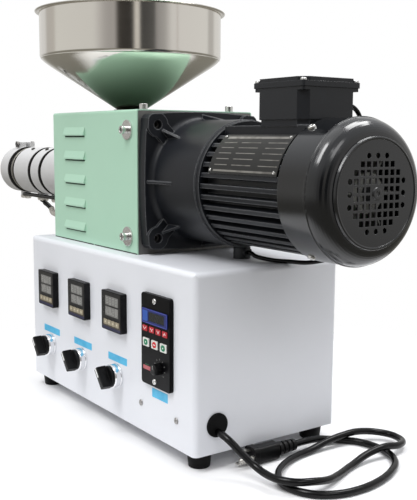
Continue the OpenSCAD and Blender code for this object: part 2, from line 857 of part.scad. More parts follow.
module terminal_lid() color("#242526") in_frame() translate([box_x, axis_y, box_z + tbox_h]) {
    linear_extrude(lip_h) round_rect(lid_size, lid_size, lid_corner_r);
    linear_extrude(lid_h) cut_square(lid_size - 2 * lid_step, tbox_cut);
}

// Cable gland on the back of the box, and the lead from it down to the cabinet top
gland_off = 8;
gland_x = box_x + gland_off;
gland_y = axis_y + tbox_size / 2;
gland_z = box_z + tbox_h / 2;
gland_d = 22;
gland_nut_l = 5;
gland_l = 12;
gland_edge = 3;
lead_d = 5;
lead_sleeve_d = lead_d + 6;

module cable_gland() color("#1a1a1b") in_frame()
    translate([gland_x, gland_y, gland_z]) rotate([-90, 0, 0]) {
        cylinder(d = gland_d, h = gland_nut_l, $fn = 6);
        translate([0, 0, gland_nut_l]) 
            cylinder(d1 = gland_d - gland_edge, d2 = lead_sleeve_d, h = gland_l - gland_nut_l);
    }

// The gland on the cabinet top turns the lead down into the cabinet
entry_x = 141;
entry_y = 112;
entry_d = 20;
entry_h = 13;
entry_out = 12;
entry_lead_z = cab_h + 8;

module lead_gland() color("#1a1a1b") in_frame() {
    translate([entry_x, entry_y, cab_h]) cylinder(d = entry_d, h = entry_h);
    translate([entry_x, entry_y, entry_lead_z]) rotate([0, 90, 0])
        cylinder(d = lead_sleeve_d, h = entry_out);
}

// The lead bends down behind the box and sweeps forward over the cabinet top: each step of the
// sweep is its part of the way and its height over the lowest line
lead_y0 = gland_y + gland_l;
lead_back_y = lead_y0 + 23;
lead_low_z = cab_h + lead_d / 2;
lead_turn = [[0, 0], [4, 0], [11, -2], [18, -8], [22, -17]];
lead_sweep = [[0.075, 16.5], [0.18, 5.5], [0.34, 0], [0.5, 0], [0.64, 0], [0.77, 1], [0.88, 2.5]];
lead_in_x = entry_x + entry_out;
function mix(a, b, t) = a + (b - a) * t;
lead_path = concat(
    [for (q = lead_turn) [gland_x, lead_y0 + q[0], gland_z + q[1]]],
    [for (z = [gland_z - 34:-20:cab_h + 36]) [gland_x, lead_back_y, z]],
    [for (q = lead_sweep) [
        mix(gland_x, lead_in_x, q[0]),
        mix(lead_back_y, entry_y, 1 - pow(1 - q[0], 2)),
        lead_low_z + q[1]
    ]],
    [[lead_in_x + lead_d, entry_y, entry_lead_z], [lead_in_x, entry_y, entry_lead_z]]
);

module motor_lead() color("#1a1a1b") in_frame() tube_along(lead_path, lead_d, 10);

// Power cord

grommet_lip = 2;
cord_x0 = cab_w / 2 + grommet_lip;
cord_exit_z = cord_z - 7.5;
grommet_d = cord_hole_d + 3;

module cord_grommet() color("#101011") in_frame()
    translate([cab_w / 2, cord_y, cord_z]) rotate([0, 90, 0]) {
        cylinder(d = grommet_d, h = grommet_lip);
        translate([0, 0, -2 * cab_t]) cylinder(d = cord_hole_d - 2 * fit, h = 2 * cab_t);
    }

// Plug lying beside the cabinet, its blades pointing to the front
plug_x = 219.5;
plug_front_y = 66;
plug_w = 19;
plug_l = 36;
plug_h = 21;
relief_l = 27;
blade_l = 16;
plug_z = plug_h / 2 - foot_h;
plug_back_y = plug_front_y + plug_l;

// The cord lies on the floor (lo) or crosses over itself (hi)
lo = cord_d / 2 - foot_h;
hi = lo + cord_d + 1;
cord_path = [
    [cord_x0, cord_y, cord_exit_z], [cord_x0 + 4, cord_y, cord_exit_z], [228, 31, 20], [242, 37, 9],
    [257, 43, -1], [273, 45, hi], [291, 47, hi], [306, 57, hi], [313, 75, -6], [311, 96, -10],
    [303, 118, -13], [291, 149, lo], [286, 178, -9], [288, 203, hi], [288, 227, -8],
    [277, 246, -10], [256, 250, -10], [240, 236, -8], [235, 213, hi], [233, 190, -6],
    [232, 167, -9], [233, 144, -13], [236, 120, lo], [245, 95, lo], [260, 73, lo], [280, 59, lo],
    [303, 57, lo], [323, 67, lo], [336, 88, lo], [340, 114, lo], [337, 142, lo], [328, 170, lo],
    [312, 196, lo], [289, 211, lo], [263, 214, lo], [240, 207, lo], [225, 190, -13],
    [220, 168, -9], [plug_x, 148, plug_z], [plug_x, plug_back_y + relief_l, plug_z]
];

module power_cord() color("#19191a") in_frame() tube_along(cord_path, cord_d, 10);

// Moulded plug with a face collar and a ringed cord relief
plug_r = 5;
face_l = 7;
waist = 1.5;
relief_d = plug_w - 5;
relief_end_d = cord_d + 3;
relief_rings = 4;
ring_pitch = relief_l / relief_rings;
ring_w = 0.6 * ring_pitch;

module plug() color("#1a1a1b") in_frame() translate([plug_x, plug_front_y, plug_z]) rotate([-90, 0, 0]) {
    linear_extrude(face_l) round_rect(plug_w, plug_h, plug_r);
    linear_extrude(plug_l) round_rect(plug_w - 2 * waist, plug_h - 2 * waist, plug_r - waist);
    translate([0, 0, plug_l]) cylinder(d1 = relief_d - waist, d2 = relief_end_d - waist, h = relief_l);
    for (k = [0:relief_rings - 1])
        translate([0, 0, plug_l + (k + 1) * ring_pitch - ring_w])
            cylinder(d = mix(relief_d, relief_end_d, k / relief_rings) + waist, h = ring_w);
}

prong_w = 6.3;
prong_t = 1.5;
prong_y = 6.35;
prong_x = -2.5;
earth_d = 4.8;
earth_x = 6;
earth_more = 3;

module plug_prongs() color("silver") in_frame()
    translate([plug_x, plug_front_y - blade_l, plug_z]) rotate([-90, 0, 0]) {
        for (s = [-1, 1])
            translate([prong_x, s * prong_y, blade_l / 2]) cube([prong_w, prong_t, blade_l], center = true);
        translate([earth_x, 0, -earth_more]) cylinder(d = earth_d, h = blade_l + earth_more);
    }

cabinet_shell();
cabinet_base();
foot(-1, -1);  // foot_front_left
foot(1, -1);  // foot_front_right
foot(-1, 1);  // foot_back_left
foot(1, 1);  // foot_back_right
controller(0);  // controller_1
controller(1);  // controller_2
controller(2);  // controller_3
selector_collar(0);  // selector_1_collar
selector_collar(1);  // selector_2_collar
selector_collar(2);  // selector_3_collar
selector_handle(0);  // selector_1_handle
selector_handle(1);  // selector_2_handle
selector_handle(2);  // selector_3_handle
speed_panel();
speed_display();
speed_key_row();
speed_buttons();
speed_knob();
housing_cover();
motor_plate();
feed_block();
throat_collar();
hopper_cone();
hopper_bowl();
barrel();
barrel_flange();
die_head();
nozzle();
heater_band(band_1_x, band_1_w, true);  // heater_band_1
heater_band(band_2_x, band_2_w);  // heater_band_2
heater_band(band_3_x, band_3_w);  // heater_band_3
heater_band(band_4_x, band_2_w);  // heater_band_4
motor_bell();
motor_body();
nameplate();
rear_shield();
fan();
fan_cover();
terminal_box();
terminal_lid();
cable_gland();
motor_lead();
lead_gland();
cord_grommet();
power_cord();
plug();
plug_prongs();
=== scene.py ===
import bmesh
import bpy
import numpy as np
from mathutils import Matrix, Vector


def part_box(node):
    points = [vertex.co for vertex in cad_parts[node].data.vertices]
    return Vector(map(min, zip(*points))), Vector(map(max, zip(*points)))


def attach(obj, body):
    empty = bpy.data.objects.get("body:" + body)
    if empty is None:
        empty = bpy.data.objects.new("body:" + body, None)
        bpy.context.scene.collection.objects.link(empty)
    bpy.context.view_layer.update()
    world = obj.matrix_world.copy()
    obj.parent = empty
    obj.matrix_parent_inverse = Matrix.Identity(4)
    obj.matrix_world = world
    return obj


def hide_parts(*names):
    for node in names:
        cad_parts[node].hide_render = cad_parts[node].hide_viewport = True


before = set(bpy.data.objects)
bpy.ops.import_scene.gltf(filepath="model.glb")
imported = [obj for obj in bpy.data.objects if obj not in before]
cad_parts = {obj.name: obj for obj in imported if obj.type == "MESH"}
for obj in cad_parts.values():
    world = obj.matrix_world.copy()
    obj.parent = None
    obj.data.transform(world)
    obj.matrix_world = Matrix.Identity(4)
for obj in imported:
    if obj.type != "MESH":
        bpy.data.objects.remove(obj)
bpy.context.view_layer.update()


# Studio
# A pale floor that fades into a white surround, a plain room with dark doorways for the metal to mirror,
# four soft lights, and a camera at the place, height and lens that the photograph was taken with.
scene = bpy.context.scene
scene.view_settings.view_transform = "Standard"


class Wire:
    """A socket in a node tree. Arithmetic on it adds Math nodes, and node() adds any other node."""

    def __init__(self, socket):
        self.socket, self.tree = socket, socket.id_data

    def node(self, kind, settings=None, sockets=None, out=0):
        """Adds a node: its settings first (stops are a ramp's positions and colours), then its sockets."""
        made = self.tree.nodes.new("ShaderNode" + kind)
        for name, value in (settings or {}).items():
            if name == "stops":
                for k, (at, colour) in enumerate(value):
                    stop = made.color_ramp.elements[k] if k < 2 else made.color_ramp.elements.new(at)
                    stop.position, stop.color = at, (*colour, 1)
            else:
                setattr(made, name, value)
        for name, value in (sockets or {}).items():
            if isinstance(value, Wire):
                self.tree.links.new(value.socket, made.inputs[name])
            else:
                made.inputs[name].default_value = value
        return Wire(made.outputs[out])

    def math(self, operation, first, second=0.0):
        """Adds a Math node on one or two values."""
        return self.node("Math", {"operation": operation}, {0: first, 1: second})

    def __add__(self, other):
        return self.math("ADD", self, other)

    def __sub__(self, other):
        return self.math("SUBTRACT", self, other)

    def __rsub__(self, other):
        return self.math("SUBTRACT", other, self)

    def __mul__(self, other):
        return self.math("MULTIPLY", self, other)

    __radd__ = __add__
    __rmul__ = __mul__


def linear(red, green, blue):
    """Linear colour of an 8-bit screen colour, by the power law that is close to the screen's own curve."""
    return tuple((np.array((red, green, blue)) / 255) ** 2.2)


def step(wire, low, high):
    """Smooth 0 to 1 as the value goes from low to high."""
    return wire.node("MapRange", {"interpolation_type": "SMOOTHSTEP"}, {0: wire, 1: low, 2: high})


def blend(mask, first, second):
    """First colour where the mask is 0, second where it is 1."""
    as_colour = [c if isinstance(c, Wire) else (*c, 1) for c in (first, second)]
    return mask.node("Mix", {"data_type": "RGBA"}, {0: mask, 6: as_colour[0], 7: as_colour[1]}, out=2)


def new_finish(name, **constants):
    """A material, its Principled shader with constant sockets set, and a Wire on object coordinates."""
    material = bpy.data.materials.new(name)
    material.use_nodes = True
    nodes = material.node_tree.nodes
    shader = nodes["Principled BSDF"]
    for socket, value in constants.items():
        shader.inputs[socket.replace("_", " ")].default_value = value
    return material, shader, Wire(nodes.new("ShaderNodeTexCoord").outputs["Object"])


def feed(shader, **wires):
    """Links wires to a shader's sockets."""
    for socket, wire in wires.items():
        shader.id_data.links.new(wire.socket, shader.inputs[socket.replace("_", " ")])


def noise(here, scale, detail=2.0, stretch=(1, 1, 1)):
    """Cloudy 0 to 1 pattern with about scale clouds to the metre, stretched along the axes."""
    at = here.node("Mapping", {}, {"Vector": here, "Scale": stretch})
    return here.node("TexNoise", {}, {"Vector": at, "Scale": scale, "Detail": detail})


floor_r = 6.0
floor_middle, fade_start, fade_end = (0.12, 0.02, 0), 0.34, 0.6
floor_mesh = bpy.data.meshes.new("floor")
floor_mesh.from_pydata([(x, y, 0) for x, y in floor_r * np.array(((-1, -1), (1, -1), (1, 1), (-1, 1)))],
                       [], [(0, 1, 2, 3)])
floor = bpy.data.objects.new("floor", floor_mesh)
scene.collection.objects.link(floor)
floor_paint, floor_shader, here = new_finish("floor_paint", Roughness=0.75, Specular_IOR_Level=0.25)
distance = here.node("VectorMath", {"operation": "DISTANCE"}, {0: here, 1: floor_middle}, out=1)
feed(floor_shader, Base_Color=blend(noise(here, 3.0), linear(240, 240, 241), linear(243, 243, 244)))
clear = here.node("BsdfTransparent")
fade = here.node("MixShader", {}, {0: step(distance, fade_start, fade_end), 1: Wire(floor_shader.outputs[0]),
                                   2: clear})
floor_paint.node_tree.links.new(fade.socket, floor_paint.node_tree.nodes["Material Output"].inputs[0])
floor.data.materials.append(floor_paint)

surround = bpy.data.worlds.new("surround")
scene.world = surround
surround.use_nodes = True
sky = surround.node_tree.nodes["Background"]
seen = Wire(surround.node_tree.nodes.new("ShaderNodeTexCoord").outputs["Generated"])
east, north, height = (seen.node("SeparateXYZ", {}, {0: seen}, out=k) for k in range(3))
bearing = seen.math("ARCTAN2", north, east) * (0.5 / np.pi) + 0.5
wall_stops = [
    (0.0, (0.74, 0.735, 0.73)), (0.045, (0.74, 0.735, 0.73)), (0.066, (0.52, 0.5, 0.48)),
    (0.112, (0.55, 0.53, 0.5)), (0.125, (0.72, 0.715, 0.69)), (0.29, (0.7, 0.69, 0.67)),
    (0.33, (0.44, 0.425, 0.415)), (0.35, (0.4, 0.385, 0.375)), (0.362, (0.46, 0.44, 0.43)),
    (0.374, (0.045, 0.04, 0.035)), (0.424, (0.03, 0.028, 0.026)), (0.433, (0.72, 0.69, 0.64)),
    (0.444, (0.7, 0.675, 0.635)), (0.45, (0.05, 0.049, 0.048)), (0.497, (0.1, 0.098, 0.095)),
    (0.505, (0.32, 0.31, 0.305)), (0.535, (0.42, 0.41, 0.4)), (0.56, (0.72, 0.71, 0.7)),
    (0.578, (0.74, 0.73, 0.72)), (0.581, (0.32, 0.26, 0.24)), (0.584, (0.74, 0.73, 0.72)),
    (0.725, (0.76, 0.755, 0.74)), (0.738, (0.52, 0.51, 0.495)), (0.765, (0.52, 0.51, 0.495)),
    (0.785, (0.76, 0.755, 0.74))]
walls = seen.node("ValToRGB", {"stops": wall_stops}, {0: bearing})
room = blend(step(height, -0.3, -0.02), (0.26, 0.25, 0.22), walls)
glow = blend(step(height, 0.2, 0.7), room, (0.85, 0.86, 0.88))
direct = seen.node("LightPath")
surround.node_tree.links.new(blend(direct, glow, (1.0, 1.0, 1.0)).socket, sky.inputs["Color"])
sky.inputs["Strength"].default_value = 1.0


def soft_box(name, at, towards, width, height, power):
    """Rectangular area light at a place, facing a point."""
    lamp = bpy.data.objects.new(name, bpy.data.lights.new(name, "AREA"))
    lamp.data.shape, lamp.data.size, lamp.data.size_y = "RECTANGLE", width, height
    lamp.data.energy = power
    ray = np.array(towards, float) - np.array(at, float)
    back = -ray / np.linalg.norm(ray)
    side = np.cross((0, 0, 1), back) if abs(back[2]) < 0.99 else np.array((1.0, 0, 0))
    side = side / np.linalg.norm(side)
    lamp.matrix_world = Matrix(np.vstack([np.column_stack([side, np.cross(back, side), back, at]), (0, 0, 0, 1)]))
    scene.collection.objects.link(lamp)


soft_box("top_light", (-0.1, -0.4, 2.2), (0.0, 0.0, 0.2), 1.8, 1.4, 6)
soft_box("front_strip", (0.25, -1.5, 2.3), (0.25, -0.4, 0.3), 0.7, 1.3, 32)
soft_box("back_strip", (0.5, 0.95, 2.3), (0.45, 0.4, 0.3), 0.8, 1.2, 30)
soft_box("side_light", (2.2, -0.3, 1.9), (0.1, 0.0, 0.3), 1.0, 0.7, 7)

camera_at = np.array((0.99095, -0.58203, 0.35459))
turn, tilt, roll = np.radians((54.75, 7.58, 0.34))
lens, long_side = 59.80, 36.0
right = np.array((np.cos(turn), np.sin(turn), 0))
ahead = np.array((-np.sin(turn) * np.cos(tilt), np.cos(turn) * np.cos(tilt), -np.sin(tilt)))
up = np.cross(right, ahead)
right, up = right * np.cos(roll) + up * np.sin(roll), up * np.cos(roll) - right * np.sin(roll)
camera = bpy.data.objects.new("camera", bpy.data.cameras.new("camera"))
camera.data.lens, camera.data.sensor_width = lens, long_side
camera.matrix_world = Matrix(np.vstack([np.column_stack([right, up, -ahead, camera_at]), (0, 0, 0, 1)]))
scene.collection.objects.link(camera)
scene.camera = camera


# Cabinet
# A folded sheet-steel box with round edges, powder coated white, closed below by a base plate.
# Two zinc-plated pan-head screws hold the front.
x_axis, y_axis, z_axis = np.eye(3)
front = -y_axis
cabinet_foot = np.array((85.0, -105.45, 18.0))


def spot(x, y, z):
    """Place in the part's frame of a point given in mm from the foot of the front panel's middle."""
    return (np.array((x, y, z)) + cabinet_foot) / 1000


def dress(material, *nodes):
    """Gives CAD nodes a finish."""
    for name in nodes:
        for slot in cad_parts[name].material_slots:
            slot.material = material


def dents(height, depth, edge=0.0):
    """Normal of a surface whose height pattern is depth metres deep, its edges rounded off over edge metres."""
    rounded = {"Normal": height.node("Bevel", {"samples": 4}, {"Radius": edge})} if edge else {}
    return height.node("Bump", {}, {"Strength": 1.0, "Distance": depth, "Height": height, **rounded})


def powder_coat(name, colour, shade, roughness, peel=0.00004, edge=0.0):
    """Sprayed powder coat: a colour that drifts a little, a fine orange peel and soft handling marks."""
    material, shader, here = new_finish(name, Specular_IOR_Level=0.45)
    cloud = noise(here, 9.0, 3.0)
    rubbed = step(noise(here, 38.0, 4.0), 0.55, 0.75)
    feed(shader, Base_Color=blend(cloud, colour, shade), Roughness=roughness + 0.12 * rubbed,
         Normal=dents(noise(here, 900.0, 1.0), peel, edge))
    return material


cabinet_white = powder_coat("cabinet_white", linear(226, 228, 233), linear(218, 220, 226), 0.42)
dress(cabinet_white, "cabinet_shell", "cabinet_base")


def skin(name, surfaces, body, material, sharp=35):
    """A piece from surfaces, each a grid of points, rows by columns by 3, with a quad between four neighbours.
    Points that meet at seams and poles are merged, faces turned outwards, edges over sharp degrees kept, and
    normals weighted by area, which keeps the large faces level up to their eased edges."""
    starts = np.cumsum([0] + [s.shape[0] * s.shape[1] for s in surfaces])
    quads = []
    for grid, start in zip(surfaces, starts):
        corner = np.arange(grid.shape[0] * grid.shape[1]).reshape(grid.shape[:2]) + start
        quads.append(np.stack([corner[:-1, :-1], corner[:-1, 1:], corner[1:, 1:], corner[1:, :-1]], -1))
    mesh = bpy.data.meshes.new(name)
    mesh.from_pydata(np.concatenate([s.reshape(-1, 3) for s in surfaces]).tolist(), [],
                     np.concatenate([q.reshape(-1, 4) for q in quads]).tolist())
    shell = bmesh.new()
    shell.from_mesh(mesh)
    bmesh.ops.remove_doubles(shell, verts=shell.verts, dist=1e-6)
    bmesh.ops.recalc_face_normals(shell, faces=shell.faces)
    shell.to_mesh(mesh)
    shell.free()
    mesh.polygons.foreach_set("use_smooth", np.ones(len(mesh.polygons), bool))
    mesh.set_sharp_from_angle(angle=np.radians(sharp))
    mesh.materials.append(material)
    piece = bpy.data.objects.new(name, mesh)
    scene.collection.objects.link(piece)
    piece.modifiers.new("level_faces", "WEIGHTED_NORMAL").keep_sharp = True
    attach(piece, body)
    return piece


def eased(corners, radius, steps=5):
    """Polyline whose inner corners become curves that start and end radius from them (quadratic in t)."""
    p = np.asarray(corners, float)
    at = p[1:-1]
    legs = np.stack([p[:-2] - at, p[2:] - at])
    size = np.linalg.norm(legs, axis=2, keepdims=True)
    ends = at + legs / size * np.minimum(radius, 0.48 * size)
    t = np.linspace(0, 1, steps)[:, None, None]
    curves = (1 - t) ** 2 * ends[0] + 2 * t * (1 - t) * at + t ** 2 * ends[1]
    return np.concatenate([p[:1], curves.transpose(1, 0, 2).reshape(-1, p.shape[1]), p[-1:]])


def turned(profile, foot, axis, sides=48, waves=0, depth=0.0):
    """Turned piece: rows of (distance from the axis, distance along it) in mm, swung round the axis from its foot.
    The radius can ripple by a part of itself, as a cosine with so many waves to the turn."""
    profile, axis = np.asarray(profile, float) / 1000, np.asarray(axis, float)
    first = np.cross(axis, y_axis if abs(axis[2]) > 0.5 else z_axis)
    first = first / np.linalg.norm(first)
    a = np.linspace(0, 2 * np.pi, sides + 1)[None, :, None]
    ring = (first * np.cos(a) + np.cross(axis, first) * np.sin(a)) * (1 + depth * np.cos(waves * a))
    return np.asarray(foot, float) + profile[:, 1, None, None] * axis + profile[:, 0, None, None] * ring


def pan_head(radius, height):
    """Half section in mm of a pan head with a blind recess."""
    return eased([(0, 0), (radius, 0), (0.85 * radius, height), (0.3 * radius, height),
                  (0.25 * radius, 0.4 * height), (0, 0.4 * height)], 0.2 * radius)


def plated_steel(name, colour, tint, roughness):
    """Zinc, nickel or chrome plate on steel: bright metal with cloudy dulling and fine scratches."""
    material, shader, here = new_finish(name, Metallic=1.0)
    dull = noise(here, 240.0, 3.0)
    scratch = noise(here, 700.0, 2.0, (1, 1, 8))
    feed(shader, Base_Color=blend(dull, colour, tint), Roughness=roughness + 0.15 * dull,
         Normal=dents(scratch, 0.00002))
    return material


panel_screw = plated_steel("panel_screw", linear(176, 174, 172), linear(140, 138, 136), 0.24)
screw_spots = ((97.8, 32.7), (173, 32))
skin("cabinet_screws", [turned(pan_head(3.9, 1.5), spot(x, 0, z), front, 24) for x, z in screw_spots],
     "machine", panel_screw)


# Feet
# Four moulded rubber feet, wider under the cabinet than on the floor. Each has a recess below for the screw
# that holds it to the base plate.
def edges(here, radius):
    """1 on edges, 0 away from them: how far the normal rounded over the radius leans from the plain one."""
    rounded = here.node("Bevel", {"samples": 4}, {"Radius": radius})
    plain = here.node("NewGeometry", out="Normal")
    along = here.node("VectorMath", {"operation": "DOT_PRODUCT"}, {0: rounded, 1: plain}, out="Value")
    return step(1.0 - along, 0.02, 0.25)


def moulded(name, colour, shade, roughness, grain=0.00003, edge=0.0004, gloss=0.4):
    """Moulded plastic or rubber: a fine grain, rounded edges rubbed paler, and patches dulled by handling."""
    material, shader, here = new_finish(name, Specular_IOR_Level=gloss)
    smear = step(noise(here, 45.0, 3.0), 0.5, 0.75)
    feed(shader, Base_Color=blend(0.5 * edges(here, edge) + 0.2 * smear, colour, shade),
         Roughness=roughness + 0.14 * smear, Normal=dents(noise(here, 1800.0, 1.0), grain, edge))
    return material


foot_rubber = moulded("foot_rubber", linear(12, 12, 13), linear(34, 34, 33), 0.5, gloss=0.15)
foot_shape = eased([(0, 7), (5, 7), (6, 0), (12, 0), (14, 18), (0, 18)], 1.2)
for name in ("front_left", "front_right", "back_left", "back_right"):
    low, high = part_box("foot_" + name)
    pad = skin("rubber_" + name, [turned(foot_shape, ((low.x + high.x) / 2, (low.y + high.y) / 2, 0), z_axis)],
               "machine", foot_rubber)
    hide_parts("foot_" + name)


# Temperature controllers
# Three square panel instruments: a black moulded bezel, and in it a printed film with two grey display
# windows, small lamps beside them, a tan strip with four keys and a navy band at the bottom.
zones = (-145.5, -52.0, 41.5)
face_z, face_out = 131.5, 8.0
controller_black = moulded("controller_black", linear(17, 17, 19), linear(60, 60, 63), 0.36, edge=0.0006, gloss=0.15)
dress(controller_black, *(f"controller_{k}" for k in (1, 2, 3)))


def outline(width, height, radius, count):
    """Closed outline of a rectangle with round corners: its points (right, up) and the way outwards at each."""
    a = np.linspace(0, np.pi / 2, count) + np.pi / 2 * np.arange(4)[:, None]
    out = np.stack([np.cos(a), np.sin(a)], -1).reshape(-1, 2)
    corner = np.repeat(((1, 1), (-1, 1), (-1, -1), (1, -1)), count, axis=0)
    points = corner * (np.array((width, height)) / 2 - radius) + radius * out
    return np.concatenate([points, points[:1]]), np.concatenate([out, out[:1]])


def plate(middle, width, height, radius, profile, right=x_axis, up=z_axis, count=6):
    """Slab on a face, in mm: its outline, moved in by a profile row's first number, stands off by the second.
    The first and the last row are drawn together to the middle, which closes the back and the front."""
    points, out = outline(width, height, radius, count)
    profile = np.asarray(profile, float)
    flat = points - profile[:, 0, None, None] * out
    flat = np.concatenate([0 * flat[:1], flat, 0 * flat[:1]])
    rise = profile[[0, *range(len(profile)), -1], 1, None, None]
    return np.asarray(middle) + (flat[..., :1] * right + flat[..., 1:] * up + rise * np.cross(right, up)) / 1000


def printed(name, colour, shade, roughness=0.35):
    """Ink on or behind a clear film: an even colour with faint smears under a thin gloss coat."""
    material, shader, here = new_finish(name, Specular_IOR_Level=0.3, Coat_Weight=0.12, Coat_Roughness=0.15)
    smear = step(noise(here, 70.0, 3.0), 0.4, 0.7)
    feed(shader, Base_Color=blend(smear, colour, shade), Roughness=roughness + 0.15 * smear,
         Normal=dents(noise(here, 1500.0, 1.0), 0.000008))
    return material


def on_controllers(name, marks, thickness, material, radius=0.4, lift=0.25):
    """The same marks (right, up, width, height) in mm on the three controller faces, as one piece."""
    slabs = [plate(spot(x + right, -face_out - lift, face_z + up), w, h, min(radius, w / 2.01, h / 2.01),
                   [(0, -0.1), (0, 0.7 * thickness), (0.3 * thickness, thickness)], count=3)
             for x in zones for right, up, w, h in marks]
    return skin(name, slabs, "machine", material)


window_w, window_h, windows = 31.5, 11.0, ((1.8, 12.6), (1.8, -0.4))
keys = [(1.2 + k, -14.0) for k in (-14.1, -4.7, 4.7, 14.1)]
bars = np.array([(0, 3.3, 3, 0.7), (0, 0, 3, 0.7), (0, -3.3, 3, 0.7), (-1.9, 1.65, 0.7, 2.6), (1.9, 1.65, 0.7, 2.6),
                 (-1.9, -1.65, 0.7, 2.6), (1.9, -1.65, 0.7, 2.6)])
numerals = np.concatenate([bars + (right + k, up, 0, 0) for right, up in windows for k in (-11.1, -3.7, 3.7, 11.1)])
on_controllers("controller_films", [(0, 0, 45.4, 45.4)], 0.25,
               printed("film_black", linear(17, 17, 18), linear(22, 22, 24)), radius=1.5, lift=0)
on_controllers("controller_windows", [(*at, window_w, window_h) for at in windows], 0.1,
               printed("window_grey", linear(118, 118, 116), linear(128, 127, 124), 0.2))
on_controllers("controller_numerals", numerals, 0.05,
               printed("numeral_grey", linear(146, 146, 142), linear(138, 138, 135)), radius=0.3, lift=0.35)
on_controllers("controller_lamps", [(-18.4, up, 1.6, 1.6) for up in (15.5, 10.5, 2.0, -3.0)], 0.2,
               printed("lamp_grey", linear(74, 76, 74), linear(62, 63, 62)), radius=0.8)
on_controllers("controller_strips", [(1.2, -14.9, 42.0, 9.0)], 0.1,
               printed("strip_tan", linear(66, 60, 50), linear(78, 71, 60)), radius=0.6)
on_controllers("controller_keys", [(*at, 8.6, 6.6) for at in keys], 0.8,
               printed("key_tan", linear(154, 145, 124), linear(142, 133, 113)), radius=1.2)
on_controllers("controller_key_marks", [(*at, 2.6, 2.6) for at in keys], 0.1,
               printed("mark_cream", linear(206, 196, 172), linear(192, 180, 154)), radius=1.3, lift=1.05)
on_controllers("controller_bands", [(0.6, -21.2, 43.5, 3.2)], 0.1,
               printed("band_navy", linear(31, 34, 64), linear(40, 43, 74)))


# Panel labels
# Four thin self-adhesive film labels of one even sky blue: one over each selector switch, and one under the
# speed controller.
labels = ((-145, 72.5, 50, 9), (-50.5, 72.5, 50, 9), (42, 72.5, 46, 9), (139, 51.7, 33, 10.5))
skin("panel_labels", [plate(spot(x, 0, z), w, h, 0.6, [(0, 0), (0, 0.2), (0.15, 0.25)]) for x, z, w, h in labels],
     "machine", printed("label_blue", linear(86, 184, 226), linear(74, 172, 216), 0.4))


# Selector switches
# A polished chrome collar on the panel, and in it a black moulded handle: a round skirt with a wide grip
# bar across it, leaning to the left, and a white line set into the upper half of the bar's edge.
chrome = plated_steel("chrome", (0.88, 0.88, 0.89), (0.82, 0.82, 0.84), 0.05)
handle_black = moulded("handle_black", linear(13, 13, 14), linear(40, 40, 42), 0.32, edge=0.0005, gloss=0.2)
handle_white = moulded("handle_white", linear(226, 227, 226), linear(205, 205, 203), 0.4)
collar_shape = eased([(0, -2), (14.5, -2), (14.5, 2.4), (14.1, 2.8), (14.1, 3.4), (14.5, 3.8), (14.5, 9.2),
                      (13.4, 10.5), (8.6, 10.5), (8.4, 4), (0, 4)], 0.5)
skirt_shape = eased([(0, 5), (8, 5), (8, 10.9), (13.3, 10.9), (13.5, 13.6), (12.6, 14.4), (0, 14.4)], 0.5)
lean = np.radians(40)
bar_right = np.array((np.cos(lean), 0, np.sin(lean)))
bar_up = np.array((-np.sin(lean), 0, np.cos(lean)))
bar_shape = [(0, 14), (0.2, 22.5), (0.35, 25.0), (0.7, 25.6), (1.3, 25.9)]
line_shape = [(0, 25.5), (0, 26), (0.3, 26.3)]
selector_z, bar_w, bar_l, line_w, line_l, line_up = 52, 9, 27.6, 2.6, 11.5, 0.0068
for k, x in enumerate(zones, 1):
    foot = spot(x, 0, selector_z)
    collar = skin(f"collar_{k}", [turned(collar_shape, foot, front, 64)], "machine", chrome)
    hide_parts(f"selector_{k}_collar")
    handle = skin(f"handle_{k}", [turned(skirt_shape, foot, front, 64),
                                  plate(foot, bar_w, bar_l, 1.4, bar_shape, bar_right, bar_up)],
                  f"selector_{k}", handle_black)
    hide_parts(f"selector_{k}_handle")
    skin(f"handle_line_{k}", [plate(foot + line_up * bar_up, line_w, line_l, 0.6, line_shape, bar_right, bar_up)],
         f"selector_{k}", handle_white)


# Speed controller
# A black moulded front with eased edges, held by two bright screws: a blue display frame with a dark
# screen, four red keys, three white buttons with coloured discs, and a small ribbed knob in a tick scale.
speed_x, speed_z, speed_out = 137.0, 113.5, 5.0
front_w, front_h, case_w, case_h, case_depth = 60.5, 105, 52.5, 81, 60
panel_black = moulded("panel_black", linear(15, 15, 17), linear(46, 46, 50), 0.3, edge=0.0005, gloss=0.1)
panel_front = [(0, 0), (0, 4.0), (0.15, 4.5), (0.5, 4.85), (1.0, speed_out)]
panel = skin("speed_front", [plate(spot(speed_x, 0, speed_z), front_w, front_h, 4, panel_front),
                             plate(spot(speed_x, 0, speed_z), case_w, case_h, 1, [(0, -case_depth), (0, 0.5)])],
             "machine", panel_black, sharp=25)
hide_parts("speed_panel")


def on_speed(name, marks, thickness, material, lift=0.0, radius=0.8):
    """Marks (right, up, width, height, turn in degrees) in mm on the speed controller's face, as one piece."""
    slabs = []
    for right, up, w, h, turned_by in marks:
        c, s = np.cos(np.radians(turned_by)), np.sin(np.radians(turned_by))
        slabs.append(plate(spot(speed_x + right, -speed_out - lift, speed_z + up), w, h,
                           min(radius, w / 2.01, h / 2.01),
                           [(0, -0.1), (0, 0.7 * thickness), (0.3 * thickness, thickness)],
                           c * x_axis + s * z_axis, c * z_axis - s * x_axis))
    return skin(name, slabs, "machine", material)


